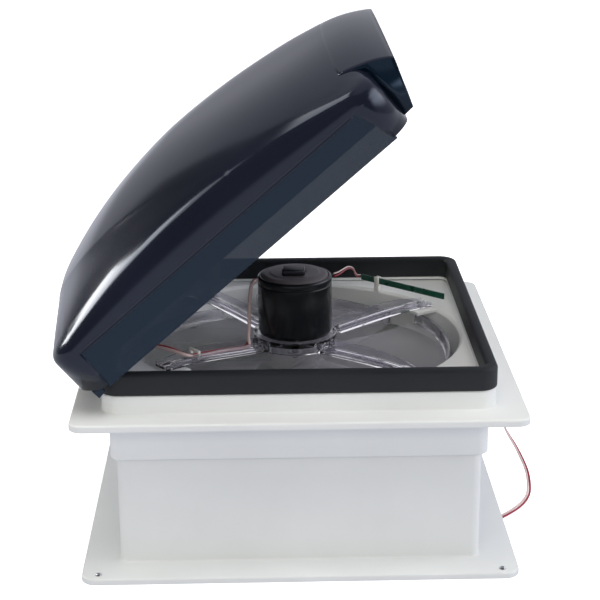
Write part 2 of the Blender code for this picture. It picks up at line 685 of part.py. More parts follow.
def square_to_lid(s, t, inset, radius):
    """Maps a point of the unit square onto the lid's rounded outline, scaled about its middle."""
    m = max(abs(s), abs(t))
    half_x, half_y = LID_HALF_LONG - inset, LID_HALF_WIDE - inset
    if m == 0:
        return LID_MIDDLE, 0.0
    u, v = s / m, t / m
    corner = 0.86
    flat_x, flat_y = half_x - radius, half_y - radius
    if abs(v) >= abs(u):
        turn = max(0.0, (abs(u) - corner) / (1 - corner)) * math.pi / 4
        x = min(abs(u) / corner, 1) * flat_x + radius * math.sin(turn)
        y = flat_y + radius * math.cos(turn)
    else:
        turn = max(0.0, (abs(v) - corner) / (1 - corner)) * math.pi / 4
        x = flat_x + radius * math.cos(turn)
        y = min(abs(v) / corner, 1) * flat_y + radius * math.sin(turn)
    return LID_MIDDLE + math.copysign(x, u) * m, math.copysign(y, v) * m


def lid_cover():
    """The glossy outer cover: crown, rolled shoulder and flat side panels, as one thin shell."""
    marks = [-1, -0.93, -0.86, -0.83, -0.6, -0.3, 0, 0.3, 0.6, 0.83, 0.905, 0.95, 1]
    count = len(marks)
    rim = ([(marks[i], -1) for i in range(count - 1)] + [(1, marks[i]) for i in range(count - 1)]
           + [(marks[-1 - i], 1) for i in range(count - 1)]
           + [(-1, marks[-1 - i]) for i in range(count - 1)])
    bm = bmesh.new()
    top = {}
    for s in marks:
        for t in marks:
            along, y = square_to_lid(s, t, ROLL, LID_CORNER - 8)
            top[s, t] = bm.verts.new(lid_point(along, y, lid_height(along, y)))
    for a, b in zip(marks, marks[1:]):
        for c, d in zip(marks, marks[1:]):
            bm.faces.new((top[a, c], top[b, c], top[b, d], top[a, d]))

    def row(inset, height, radius):
        made = []
        for s, t in rim:
            along, y = square_to_lid(s, t, ROLL, LID_CORNER - 8)
            edge = lid_height(along, y)
            along, y = square_to_lid(s, t, inset, radius)
            made.append(bm.verts.new(lid_point(along, y, height(s, t, edge))))
        return made

    def on_panel(s, t):
        return abs(t) == 1 and abs(s) <= 0.83

    def foot(along):
        return 3.0 + 9.0 * smoothstep((-2 - along) / 24)

    rows = [[top[s, t] for s, t in rim]]
    for degrees in (25, 48, 68, 90):
        angle = math.radians(degrees)
        rows.append(row(ROLL * (1 - math.sin(angle)),
                        lambda s, t, edge, c=math.cos(angle): PANEL_TOP + (edge - PANEL_TOP) * c,
                        LID_CORNER - 8 * math.cos(angle)))
    panel_in = [1.4 if on_panel(s, t) else 0.0 for s, t in rim]
    for drop, low in ((1.4, False), (0, True)):
        made = []
        for (s, t), inward in zip(rim, panel_in):
            along, y = square_to_lid(s, t, 0, LID_CORNER)
            y -= math.copysign(inward, y)
            up = (PANEL_LOW if on_panel(s, t) else foot(along)) if low else PANEL_TOP - drop
            made.append(bm.verts.new(lid_point(along, y, up)))
        rows.append(made)
    for upper, lower in zip(rows, rows[1:]):
        for i in range(len(upper)):
            j = (i + 1) % len(upper)
            bm.faces.new((upper[i], upper[j], lower[j], lower[i]))
    cover = place("lid_cover", mesh_of("lid_cover", bm), "lid_gloss", parent=LID)
    wall = cover.modifiers.new("wall", "SOLIDIFY")
    wall.thickness = LID_WALL * MM
    wall.offset = -1


def lid_skirt():
    """The smoke-tinted liner: a ring with the rib for the seal, and the lid's flat side panels."""
    up = [h - HINGE_UP for h in (40.0, 34.8, 37.8)]
    low = 35.0 - HINGE_UP
    liner = square_ring("lid_skirt", [
        ((184.4, 190.9), 23, low), ((184.4, 190.9), 23, up[0]), (176.2, 9, up[0]),
        (176.2, 9, up[1]), (180.4, 12, up[1]), (180.4, 12, up[2]), ((182.4, 188.9), 21, up[2]),
        ((182.4, 188.9), 21, low),
    ], "lid_smoke", at=(LINER_MIDDLE - HINGE_ALONG, 0, 0), parent=LID)

    def side_outline(*corners):
        return [(along - HINGE_ALONG, up - HINGE_UP) for along, up in corners]

    panel_outline = side_outline((3.4, 0.2), (341.2, 0.6), (329.0, 40.6), (4.8, 40.6))
    foot_outline = side_outline((-9.6, 38), (-9.6, 4.2), (-15.6, 7.2), (-15.2, -2.8), (-7, -1.5),
                                (-6, 10), (8, 30), (8, 38))
    for name, side in (("front", -1), ("rear", 1)):
        for label, outline, inner, outer in (("side_panel", panel_outline, 189.4, 193.2),
                                             ("corner_foot", foot_outline, 185.2, 190.2)):
            near, far = sorted((side * inner, side * outer))
            join(liner, flat_outline(f"{label}_{name}", [outline], -far, -near, "lid_smoke",
                                     turn=(90, 0, 0), parent=LID))


def lid_visor():
    """The deflector over the far end: its top carries the crown on, then turns down and back."""
    bm = bmesh.new()
    count = 12
    rows = []
    for i in range(count + 1):
        y = VISOR_HALF * (2 * i / count - 1)
        bulge = 1 - (y / VISOR_HALF) ** 2
        start = lid_height(350, y) + 4.9
        rows.append([bm.verts.new(lid_point(*p)) for p in (
            (349.5, y, start), (360, y, start - 4.6 - 1.0 * bulge),
            (374, y, 55.0 + 14.5 * bulge), (385.3 + 3 * bulge, y, 48.2 + 9 * bulge),
            (384.6 + 3 * bulge, y, 45.4 + 9 * bulge), (369.6 + 2 * bulge, y, 3.6))])
    for a, b in zip(rows, rows[1:]):
        for i in range(len(a) - 1):
            bm.faces.new((a[i], a[i + 1], b[i + 1], b[i]))
    for row, side in ((rows[0], -1), (rows[-1], 1)):
        back = [bm.verts.new(lid_point(along, side * VISOR_HALF, up))
                for along, up in ((361.0, 3.0), (361.0, 47.0), (358.8, 58.5))]
        corner = [*row, *back]
        bm.faces.new(corner if side < 0 else corner[::-1])
    visor = place("lid_visor", mesh_of("lid_visor", bm), "lid_dark", parent=LID)
    wall = visor.modifiers.new("wall", "SOLIDIFY")
    wall.thickness = LID_WALL * MM
    wall.offset = -1


def lid_hinges():
    """Two hinges: a bracket with two ears on the flange, its pin, and the leaf on the lid."""
    for name, side in (("front", -1), ("rear", 1)):
        y = side * 75.0
        bracket = box(f"hinge_bracket_{name}", (-214.0 + 6, y - 17, FLANGE_TOP + GAP),
                      (-187.5, y + 17, FLANGE_TOP + 3.0), "grey_plastic")
        for i, ear_y in enumerate((y - 17, y + 13)):
            ear = box(f"hinge_ear_{name}_{i + 1}", (HINGE_X - 6, ear_y, FLANGE_TOP + 1.0),
                      (HINGE_X + 6, ear_y + 4, HINGE_Z), "grey_plastic")
            dome = cylinder(f"hinge_dome_{name}_{i + 1}", 6.0, 4, "grey_plastic",
                            (HINGE_X, ear_y, HINGE_Z), "Y")
            join(bracket, ear, dome)
        seat = (-193.0, y, FLANGE_TOP + 3.0)
        cut(bracket,
            cylinder(f"hinge_bore_{name}", PIN_HOLE_R, 50, "steel", (HINGE_X, y - 25, HINGE_Z),
                     "Y", sides=24),
            cylinder(f"hinge_screw_hole_{name}", 2.0, 8, "steel", (seat[0], y, 160), sides=12))
        screw(f"hinge_screw_{name}", seat, 3.2, 1.6, 2.2)
        cylinder(f"hinge_pin_{name}", PIN_R, 35, "steel", (HINGE_X, y - 17.5, HINGE_Z), "Y",
                 sides=24)
        leaf = cylinder(f"hinge_leaf_{name}", 5.4, 25, "grey_plastic", (0, y - 12.5, 0), "Y",
                        parent=LID)
        plate = box(f"hinge_plate_{name}", (4.2, y - 12.2, 0.0), (7.4, y + 12.2, 28.0),
                    "grey_plastic", parent=LID)
        join(leaf, plate)
        cut(leaf, cylinder(f"leaf_bore_{name}", PIN_HOLE_R, 60, "steel", (0, y - 30, 0),
                           "Y", parent=LID, sides=24))


# ---------------------------------------------------------------- lid drive

def stadium(length, radius, at=0.0, steps=8):
    """Outline of a bar with round ends, from one end's centre to the other's."""
    points = []
    for centre, first in ((at + length, -90), (at, 90)):
        for i in range(steps + 1):
            a = math.radians(first + 180 * i / steps)
            points.append((centre + radius * math.cos(a), radius * math.sin(a)))
    return points


def lever():
    """The lever, its worm wheel and their pivot pin, and the roller at the lever's end."""
    y = 142.2 - DRIVE_Y
    flat_outline("lift_lever", [stadium(LEVER, 7.0), circle(3.2, sides=20)[::-1]], -5.0, 0.0,
                 "zinc", at=(0, y, 0), turn=(90, 0, 0), parent=DRIVE)
    stud = cylinder("roller_stud", 2.6, 13.0, "zinc", (LEVER, y + 3.0, 0), "Y", parent=DRIVE,
                    sides=20)
    join(bpy.data.objects["lift_lever"], stud)
    teeth = []
    facing_worm = math.radians(180 - LEVER_OPEN)
    for i in range(WHEEL_TEETH):
        for share, radius in ((-0.25, 10.9), (-0.11, 13.7), (0.11, 13.7), (0.25, 10.9)):
            angle = facing_worm + 2 * math.pi * (i + share) / WHEEL_TEETH
            teeth.append((radius * math.cos(angle), radius * math.sin(angle)))
    flat_outline("worm_wheel", [teeth, circle(3.2, sides=20)[::-1]], -2.5, 2.5, "brass",
                 turn=(90, 0, 0), parent=DRIVE)
    cylinder("lift_pivot_pin", PIN_R, 31.0, "steel", (0, y - 0.8, 0), "Y", parent=DRIVE, sides=24)
    turned("track_roller", [
        (4.2, 3.2), (5.0, 2.4), (5.0, -2.4), (4.2, -3.2), (2.7, -3.2), (2.7, 3.2),
    ], "acetal", (LEVER, y + 5 + 3.9, 0), "Y", parent=DRIVE, sides=24)


def worm_section(radius_points, angle, z):
    turn = Matrix.Rotation(angle, 3, "Z")
    return [turn @ Vector((r, 0, z + dz)) for r, dz in radius_points]


def worm_shaft():
    """The upright shaft with its worm, from the lift motor down to the hand knob."""
    pitch = math.pi * WHEEL_MODULE
    turns, per_turn = 3, 12
    tooth = ((2.8, -0.85), (3.3, -0.85), (6.1, -0.45), (6.1, 0.45), (3.3, 0.85), (2.8, 0.85))
    shaft = turned("worm_shaft", [
        (0, 206.0), (2.0, 206.0), (2.0, 202.6), (3.4, 202.2), (3.4, 183.0), (2.0, 182.6),
        (2.0, 128.6), (0, 128.6),
    ], "steel", (WORM_X, DRIVE_Y, 0), sides=24)
    thread = loft("worm_thread", [
        worm_section(tooth, 2 * math.pi * i / per_turn,
                     PIVOT_Z + pitch * (i / per_turn - turns / 2))
        for i in range(turns * per_turn + 1)
    ], "steel", at=(WORM_X, DRIVE_Y, 0))
    join(shaft, thread)


def lift_frame():
    """The frame on the shelf that holds the lever's pivot, the worm and the lift motor."""
    low, x0, x1 = SHELF_TOP + GAP, WORM_X - 13, -80.5
    frame = box("lift_frame", (x0, 148.0, low), (x1, 172.3, low + 2.2), "white_abs")
    for i, y in enumerate((148.0, 169.9)):
        cheek = box(f"lift_cheek_{i + 1}", (x0 + 0.02, y, low + 0.5), (x1 - 0.02, y + 2.4, 208.4),
                    "white_abs")
        join(frame, cheek)
    join(frame, box("lift_bridge", (x0 + 0.04, 148.4, 206.6), (-101.0, 172.0, 208.6),
                    "white_abs"))
    cut(frame,
        cylinder("pivot_bore", PIN_HOLE_R, 60, "steel", (PIVOT_X, 130, PIVOT_Z), "Y", sides=24),
        cylinder("worm_bore", 2.3, 50, "steel", (WORM_X, DRIVE_Y, 165), sides=20))
    turned("lift_motor", [
        (0, 228.5), (4, 228.5), (4.4, 226.5), (9.4, 226.5), (10.4, 225.5), (10.4, 209.0),
        (0, 209.0),
    ], "motor_cap", (WORM_X, DRIVE_Y, 0), sides=24)
    turned("manual_knob", [
        (2.3, 142.0), (7.0, 142.0), (7.6, 141.0), (7.6, 131.0), (6.6, 129.0), (2.3, 129.0),
    ], "grey_plastic", (WORM_X, DRIVE_Y, 0), sides=20)


def lift_track():
    """The slotted plate under the lid that the roller runs in, folded over to the liner."""
    turn = Matrix.Rotation(math.radians(TRACK_TILT), 3, "Z")
    y = 150.2
    near, far = 154.0, 225.0

    def tilted(outline):
        return [tuple((turn @ Vector((x, z, 0)))[:2]) for x, z in outline]

    slot = tilted(stadium(far - near, 5.25, near))
    start, end = turn @ Vector((near - 14, -11, 0)), turn @ Vector((far + 14, -11, 0))
    top = 68.0 - HINGE_UP
    plate = [tuple(start[:2]), tuple(end[:2]), (end.x - 4, top), (start.x + 2, top)]
    track = flat_outline("lift_track", [plate, slot[::-1]], -2.4, 0, "zinc", at=(0, y, 0),
                         turn=(90, 0, 0), parent=LID)
    x0, x1 = start.x + 2.5, end.x - 4.5
    join(track,
         box("track_shelf", (x0, y + 0.2, top - 2.0), (x1, 185.6, top + 0.4), "zinc", parent=LID),
         box("track_leg", (x0 + 0.1, 183.2, 41.0 - HINGE_UP), (x1 - 0.1, 185.5, top),
             "zinc", parent=LID),
         box("track_foot", (x0 + 0.2, 177.0, 40.3 - HINGE_UP), (x1 - 0.2, 185.4, 42.6 - HINGE_UP),
             "zinc", parent=LID))


# ---------------------------------------------------------------- assembly

clear_scene()
PARTS = collection("roof_vent")
CUTTERS = collection("cutters")
BASE = empty("base_frame", (BASE_SHIFT_X, 0, 0))
LID = empty("lid_hinge_axis", (HINGE_X, 0, HINGE_Z), (0, -LID_OPEN, 0), BASE)
DRIVE = empty("lever_axis", (PIVOT_X, DRIVE_Y, PIVOT_Z), (0, -LEVER_OPEN, 0), BASE)

roof_flange()
grommet()
rim_seal()
fan_shroud()
fan_collar()
interior_trim()
insect_screen()
motor_spider()
motor()
fan()
motor_wiring()
sensor_board()
controls()
power_lead()
lid_cover()
lid_skirt()
lid_visor()
lid_hinges()
lever()
worm_shaft()
lift_frame()
lift_track()
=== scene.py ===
"""Looks of a powered roof vent: fine surfaces, materials, supply wires, lights and camera.

Shapes are drawn in millimetres in the base's own frame, whose X runs from the hinge to the lid's
free end, Y to the rear and Z up, or in the lid's frame about its hinge, and are then placed where
the frame's joints say.
"""

import json
import math

import bmesh
import bpy
from mathutils import Matrix, Vector

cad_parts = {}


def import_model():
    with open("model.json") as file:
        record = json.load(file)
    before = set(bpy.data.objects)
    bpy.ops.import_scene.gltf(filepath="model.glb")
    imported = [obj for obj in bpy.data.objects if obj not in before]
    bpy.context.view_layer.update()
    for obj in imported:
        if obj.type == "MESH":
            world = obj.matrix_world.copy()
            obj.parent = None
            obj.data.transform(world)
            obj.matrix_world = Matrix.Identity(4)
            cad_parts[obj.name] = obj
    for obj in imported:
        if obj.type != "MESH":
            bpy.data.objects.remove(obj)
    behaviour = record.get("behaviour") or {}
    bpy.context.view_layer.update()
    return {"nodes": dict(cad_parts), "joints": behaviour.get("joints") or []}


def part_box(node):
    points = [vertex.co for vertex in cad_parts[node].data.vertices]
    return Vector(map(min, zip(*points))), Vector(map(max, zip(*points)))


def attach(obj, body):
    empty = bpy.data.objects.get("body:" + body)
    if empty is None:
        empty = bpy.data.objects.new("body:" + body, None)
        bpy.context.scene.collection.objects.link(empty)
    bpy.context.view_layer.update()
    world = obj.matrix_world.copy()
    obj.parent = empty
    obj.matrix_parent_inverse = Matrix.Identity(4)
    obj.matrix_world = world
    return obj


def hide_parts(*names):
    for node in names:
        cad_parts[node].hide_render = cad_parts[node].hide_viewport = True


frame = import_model()
MM = 0.001


# ---------------------------------------------------------------- places that come from the frame

def joint(name):
    return next(j for j in frame["joints"] if j["name"] == name)


def middle(node):
    low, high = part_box(node)
    return (low + high) / 2


def half_size(node):
    """Half the size along X and the lowest and highest Z of a node, in the base's millimetres."""
    low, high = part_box(node)
    return (high.x - low.x) / 2 / MM, low.z / MM, high.z / MM


SHIFT = middle("rim_seal").x
HINGE = Vector(joint("lid_hinge")["pos_m"])
LID_OPEN = -math.radians(joint("lid_hinge")["range_deg"][0])
BASE = Matrix.Translation((SHIFT, 0, 0)) @ Matrix.Scale(MM, 4)
LID = Matrix.Translation(HINGE) @ Matrix.Rotation(-LID_OPEN, 4, "Y") @ Matrix.Scale(MM, 4)


# ---------------------------------------------------------------- camera

def camera():
    """A long lens in front of the object, a little to the left and above it."""
    pitch, yaw, roll = (math.radians(angle) for angle in (18.04, 1.362, 0.334))
    data = bpy.data.cameras.new("camera")
    data.sensor_width = 36.0
    data.lens = 98.70
    data.clip_end = 50
    made = bpy.data.objects.new("camera", data)
    bpy.context.scene.collection.objects.link(made)
    turn = (Matrix.Rotation(-yaw, 4, "Z") @ Matrix.Rotation(math.pi / 2 - pitch, 4, "X")
            @ Matrix.Rotation(-roll, 4, "Z"))
    made.matrix_world = Matrix.Translation((SHIFT - 0.0326, -1.5886, 0.7282)) @ turn
    bpy.context.scene.camera = made


camera()


# ---------------------------------------------------------------- materials

MATERIALS = {}


def node(tree, kind, inputs=None, **settings):
    """A shader node; each input is a constant or linked from another node's output."""
    made = tree.nodes.new(kind)
    for key, value in settings.items():
        setattr(made, key, value)
    for key, source in (inputs or {}).items():
        if isinstance(source, bpy.types.NodeSocket):
            tree.links.new(source, made.inputs[key])
        else:
            made.inputs[key].default_value = source
    return made


def finish(name, colour, rough, metallic=0.0, spread=0.12, grain=900.0, bump=0.03, rough_spread=0.06,
           blotch=9.0, **shader):
    """A moulded, painted or turned surface.

    spread is how far the colour drifts in large soft blotches, grain the fineness of the surface's
    texture per metre, and bump its height. shader holds constants for the shader's own sockets.
    """
    made = bpy.data.materials.new(name)
    made.use_nodes = True
    tree = made.node_tree
    bsdf = tree.nodes["Principled BSDF"]
    bsdf.inputs["Metallic"].default_value = metallic
    for key, value in shader.items():
        bsdf.inputs[key.replace("_", " ")].default_value = value
    where = node(tree, "ShaderNodeTexCoord").outputs["Object"]
    wide = node(tree, "ShaderNodeTexNoise",
                {"Vector": where, "Scale": blotch, "Detail": 4.0, "Roughness": 0.55})
    fine = node(tree, "ShaderNodeTexNoise",
                {"Vector": where, "Scale": grain, "Detail": 2.0, "Roughness": 0.6})
    ramp = node(tree, "ShaderNodeValToRGB", {"Fac": wide.outputs["Fac"]})
    low, high = ramp.color_ramp.elements
    low.position, high.position = 0.3, 0.7
    low.color = (*(c * (1 - spread) for c in colour), 1)
    high.color = (*(min(1.0, c * (1 + spread)) for c in colour), 1)
    tree.links.new(ramp.outputs["Color"], bsdf.inputs["Base Color"])
    drift = node(tree, "ShaderNodeMapRange", {
        "Value": wide.outputs["Fac"], "From Min": 0.3, "From Max": 0.7,
        "To Min": rough - rough_spread, "To Max": rough + rough_spread})
    tree.links.new(drift.outputs["Result"], bsdf.inputs["Roughness"])
    relief = node(tree, "ShaderNodeBump",
                  {"Height": fine.outputs["Fac"], "Strength": bump, "Distance": 0.0005})
    tree.links.new(relief.outputs["Normal"], bsdf.inputs["Normal"])
    MATERIALS[name] = made


finish("white_abs", (0.78, 0.80, 0.81), 0.40, spread=0.03, grain=1400, bump=0.06)
finish("seal_rubber", (0.010, 0.012, 0.015), 0.58, spread=0.25, grain=1100, bump=0.25)
finish("lid_gloss", (0.009, 0.011, 0.021), 0.14, spread=0.2, grain=500, bump=0.012,
       rough_spread=0.02, Specular_Tint=(0.78, 0.86, 1.0, 1.0))
finish("lid_smoke", (0.004, 0.013, 0.034), 0.17, spread=0.1, grain=700, bump=0.01, Alpha=0.87,
       Specular_Tint=(0.76, 0.92, 1.0, 1.0))
# A dark smoked finish: behind the side panels it is their dark backing; on the deflector's under and
# side faces its darker colour and dimmer reflections are painted shade.
finish("lid_dark", (0.003, 0.008, 0.017), 0.16, spread=0.2, grain=600, bump=0.01,
       Specular_Tint=(0.45, 0.62, 0.8, 1.0))
finish("clear_plastic", (0.92, 0.91, 0.97), 0.05, spread=0.02, grain=300, bump=0.015,
       rough_spread=0.02, Transmission_Weight=1.0, IOR=1.46)
finish("clear_blade", (0.60, 0.58, 0.68), 0.07, spread=0.03, grain=300, bump=0.02,
       rough_spread=0.03, Alpha=0.16)
finish("motor_black", (0.006, 0.007, 0.009), 0.2, spread=0.3, grain=1600, bump=0.03)
finish("motor_cap", (0.10, 0.09, 0.10), 0.42, spread=0.15, grain=1200, bump=0.1)
finish("black_plastic", (0.010, 0.010, 0.015), 0.35, spread=0.2, grain=1300, bump=0.08)
finish("steel", (0.56, 0.56, 0.57), 0.28, 1.0, spread=0.08, grain=2500, bump=0.05)
finish("zinc", (0.50, 0.51, 0.52), 0.42, 1.0, spread=0.15, grain=1800, bump=0.08, blotch=60)
finish("brass", (0.62, 0.45, 0.19), 0.32, 1.0, spread=0.12, grain=2500, bump=0.05, blotch=60)
finish("board_green", (0.008, 0.075, 0.045), 0.3, spread=0.25, grain=700, bump=0.05, blotch=90)
finish("wire_red", (0.30, 0.012, 0.03), 0.36, spread=0.12, grain=1500, bump=0.05, blotch=40)
finish("wire_white", (0.72, 0.56, 0.56), 0.38, spread=0.08, grain=1500, bump=0.05, blotch=40)
finish("acetal", (0.80, 0.80, 0.78), 0.34, spread=0.04, grain=1500, bump=0.05)
finish("grey_plastic", (0.30, 0.32, 0.33), 0.42, spread=0.1, grain=1300, bump=0.12)
finish("screen_mesh", (0.10, 0.10, 0.105), 0.5, spread=0.15, grain=900, bump=0.1)


# ---------------------------------------------------------------- helpers for shapes

def piece(name, bm, finish_name, body="base", stands_for=(), matrix=BASE, smooth=35):
    """A visible object of this mesh: placed, shaded, given its finish and set on its body."""
    bmesh.ops.recalc_face_normals(bm, faces=bm.faces)
    mesh = bpy.data.meshes.new(name)
    bm.to_mesh(mesh)
    bm.free()
    mesh.transform(matrix)
    mesh.shade_smooth()
    mesh.set_sharp_from_angle(angle=math.radians(smooth))
    mesh.materials.append(MATERIALS[finish_name])
    made = bpy.data.objects.new(name, mesh)
    bpy.context.scene.collection.objects.link(made)
    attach(made, body)
    if stands_for:
        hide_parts(*stands_for)
    return made


def bevelled(obj, width, segments=2):
    bevel = obj.modifiers.new("rounded_edges", "BEVEL")
    bevel.width = width * MM
    bevel.segments = segments
    bevel.limit_method = "ANGLE"
    bevel.angle_limit = math.radians(38)
    bevel.harden_normals = True
    return obj


def solidified(obj, thickness):
    wall = obj.modifiers.new("wall", "SOLIDIFY")
    wall.thickness = thickness * MM
    wall.offset = -1


def boolean(obj, operation, *others):
    """Joins or cuts the mesh with others, which are used up."""
    for other in others:
        modifier = obj.modifiers.new(other.name, "BOOLEAN")
        modifier.operation = operation
        modifier.solver = "EXACT"
        modifier.object = other
    graph = bpy.context.evaluated_depsgraph_get()
    graph.update()
    mesh = bpy.data.meshes.new_from_object(obj.evaluated_get(graph))
    obj.modifiers.clear()
    obj.data = mesh
    for other in others:
        bpy.data.objects.remove(other)


def fillet(points, size, steps=3):
    """Rounds every corner of a closed outline of vectors."""
    made = []
    for i, p in enumerate(points):
        before, after = points[i - 1], points[(i + 1) % len(points)]
        start = p + (before - p) * min(0.45, size / max((before - p).length, 1e-6))
        end = p + (after - p) * min(0.45, size / max((after - p).length, 1e-6))
        for k in range(steps + 1):
            t = k / steps
            made.append(start * (1 - t) ** 2 + p * (2 * t * (1 - t)) + end * t * t)
    return made


def rounded_square(half_x, half_y, radius, z, steps=12):
    points = []
    for quarter in range(4):
        sx = 1 if quarter in (0, 3) else -1
        sy = 1 if quarter in (0, 1) else -1
        for i in range(steps + 1):
            angle = math.pi / 2 * (quarter + i / steps)
            x = sx * (half_x - radius) + radius * math.cos(angle)
            y = sy * (half_y - radius) + radius * math.sin(angle)
            points.append(Vector((x, y, z)))
    return points


def skin(sections, ring=False, capped=True):
    """Faces between closed sections of equally many points."""
    bm = bmesh.new()
    rows = [[bm.verts.new(p) for p in section] for section in sections]
    for a, b in list(zip(rows, rows[1:])) + ([(rows[-1], rows[0])] if ring else []):
        for i in range(len(a)):
            j = (i + 1) % len(a)
            bm.faces.new((a[i], a[j], b[j], b[i]))
    if capped and not ring:
        bm.faces.new(rows[0])
        bm.faces.new(rows[-1])
    return bm


def square_ring(profile, edge=0.8, steps=12):
    """A square frame whose section runs through (half size, corner radius, height) corners."""
    rings = [rounded_square(h, h, r, z, steps) for h, r, z in
             fillet([Vector(p) for p in profile], edge)]
    return skin(rings, ring=True)


def lathe(profile, edge, sides=64):
    """A turned solid: (radius, height) points; a closed section if it stays off the axis."""
    points = [Vector((r, z)) for r, z in profile]
    closed = profile[0][0] > 0
    rounded = fillet(points, edge)
    count = len(rounded) // len(points)
    points = rounded if closed else points[:1] + rounded[count:-count] + points[-1:]
    bm = bmesh.new()
    rows = []
    for p in points:
        if p.x < 1e-6:
            rows.append([bm.verts.new((0, 0, p.y))])
            continue
        rows.append([bm.verts.new((p.x * math.cos(2 * math.pi * i / sides),
                                   p.x * math.sin(2 * math.pi * i / sides), p.y))
                     for i in range(sides)])
    for a, b in list(zip(rows, rows[1:])) + ([(rows[-1], rows[0])] if closed else []):
        for i in range(sides):
            j = (i + 1) % sides
            corners = [a[i % len(a)], a[j % len(a)], b[j % len(b)], b[i % len(b)]]
            bm.faces.new(list(dict.fromkeys(corners)))
    return bm


def block(low, high):
    low, high = Vector(low), Vector(high)
    bm = bmesh.new()
    bmesh.ops.create_cube(bm, size=1)
    bmesh.ops.scale(bm, vec=high - low, verts=bm.verts)
    bmesh.ops.translate(bm, vec=(low + high) / 2, verts=bm.verts)
    return bm


def turned(degrees):
    """The base's placing with a turn about the fan's axis first."""
    return BASE @ Matrix.Rotation(math.radians(degrees), 4, "Z")


def smoothstep(t):
    t = min(1.0, max(0.0, t))
    return t * t * (3 - 2 * t)


def polar(radius, degrees, z=0.0):
    angle = math.radians(degrees)
    return Vector((radius * math.cos(angle), radius * math.sin(angle), z))


def smooth_route(route, spacing):
    """Points about this far apart on a smooth curve through the route's points."""
    points = [Vector(p) for p in route]
    ends = [2 * points[0] - points[1]] + points + [2 * points[-1] - points[-2]]
    fine = []
    for p0, p1, p2, p3 in zip(ends, ends[1:], ends[2:], ends[3:]):
        count = max(2, round((p2 - p1).length / spacing))
        for i in range(count):
            t = i / count
            fine.append(
                0.5 * (2 * p1 + (p2 - p0) * t + (2 * p0 - 5 * p1 + 4 * p2 - p3) * t * t
                       + (3 * p1 - p0 - 3 * p2 + p3) * t ** 3))
    return fine + [points[-1]]


def wire(name, route, diameter, finish_name, stands_for):
    """A round wire along a smooth curve through the route."""
    curve = bpy.data.curves.new(name, "CURVE")
    curve.dimensions = "3D"
    curve.bevel_depth = diameter / 2 * MM
    curve.bevel_resolution = 4
    curve.use_fill_caps = True
    spline = curve.splines.new("POLY")
    points = smooth_route(route, 3.0)
    spline.points.add(len(points) - 1)
    for point, co in zip(spline.points, points):
        point.co = (*(BASE @ co), 1)
    spline.use_smooth = True
    curve.materials.append(MATERIALS[finish_name])
    made = bpy.data.objects.new(name, curve)
    bpy.context.scene.collection.objects.link(made)
    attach(made, "base")
    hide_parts(*stands_for)
    return made


# ---------------------------------------------------------------- supply wires

def lead_route(s):
    """Route of one supply wire; s is 1 for the red one and -1 for the white one beside it."""
    return [
        (178.5, 1.4 * s, 131.0), (188.0, 1.5 * s, 130.6), (201.0, 0.5 + 1.5 * s, 118.0),
        (210.0, -1.0 + 1.5 * s, 93.0), (219.0, -2.0 + 1.6 * s, 67.0),
        (231.0 + 0.6 * s, -5.0 + 1.6 * s, 46.0), (241.5 + 1.0 * s, -10.0 + 1.3 * s, 23.0),
        (243.0 + 1.4 * s, -20.0 + 1.0 * s, 7.0), (238.0 + 1.5 * s, -34.0, 2.2),
        (226.0 + 1.5 * s, -54.0 - 0.9 * s, 1.5), (207.0 + 1.3 * s, -75.0 - 1.2 * s, 1.4),
        (185.0 + 1.2 * s, -93.0 - 1.4 * s, 1.4), (158.0 + 1.2 * s, -110.0 - 1.4 * s, 1.4),
        (124.0, -124.0 - 1.6 * s, 1.4), (84.0, -130.0 - 1.6 * s, 1.4),
        (44.0, -128.0 - 1.8 * s, 1.4), (8.0, -118.0 - 2.4 * s, 1.4),
    ]


for side, colour, length in ((1.0, "red", 0.439), (-1.0, "white", 0.431)):
    lead = wire(f"supply_wire_{colour}", lead_route(side), 2.2, f"wire_{colour}",
                [f"power_lead_{colour}"])


# ---------------------------------------------------------------- base shells

FLANGE_LOW, FLANGE_TOP = 155.0, 162.3
UPSTAND, LEDGE = 182.6, 172.8


def flange():
    """The roof flange: a wide plate, the upstand under the seal and the neck through the roof."""
    half, low, top = half_size("roof_flange")
    neck, wall = 177.0, 2.5
    piece("roof_flange_shell", square_ring([
        (half, 12, FLANGE_LOW), (half, 12, FLANGE_TOP - 1.3), (half - 1.3, 11, FLANGE_TOP),
        (UPSTAND + 0.8, 18, FLANGE_TOP), (UPSTAND, 17, top - 1), (UPSTAND - 1, 16, top),
        (LEDGE, 9, top), (LEDGE, 9, top - 2.8), (UPSTAND - 2.4, 15, top - 2.8),
        (UPSTAND - 2.4, 15, FLANGE_TOP - 2.3), (neck - wall, 10, FLANGE_LOW + 2),
        (neck - wall, 10, low), (neck, 12, low), (neck, 12, FLANGE_LOW),
    ]), "white_abs", stands_for=["roof_flange"])


def trim():
    """The interior trim: its plate, its neck and the notch that lets the supply wires under it."""
    half, low, top = half_size("interior_trim")
    neck, wall, plate = 171.5, 2.5, 6.0
    shell = piece("interior_trim_shell", square_ring([
        (half, 14, low), (half, 14, plate - 1), (half - 1, 13, plate), (neck + 1.5, 10, plate),
        (neck, 9, plate + 1.5), (neck, 9, top), (neck - wall, 7, top), (neck - wall, 7, 3.0),
        (half - wall, 12, 3.0), (half - wall, 12, low),
    ]), "white_abs", stands_for=["interior_trim"])
    notch = piece("lead_notch", block((198, -92, -4), (212, -62, 3.6)), "white_abs")
    boolean(shell, "DIFFERENCE", notch)


def seal():
    """The rubber seal round the rim, with well rounded edges."""
    half, low, top = half_size("rim_seal")
    inner = half - 11
    piece("rim_seal_lip", square_ring([
        (half, 18, low), (half, 18, top - 3), (half - 1.6, 17, top - 0.8), (half - 4, 15, top),
        (inner + 4, 12, top), (inner + 1.6, 10, top - 0.8), (inner, 9, top - 3), (inner, 9, low),
    ], edge=1.6), "seal_rubber", stands_for=["rim_seal"])


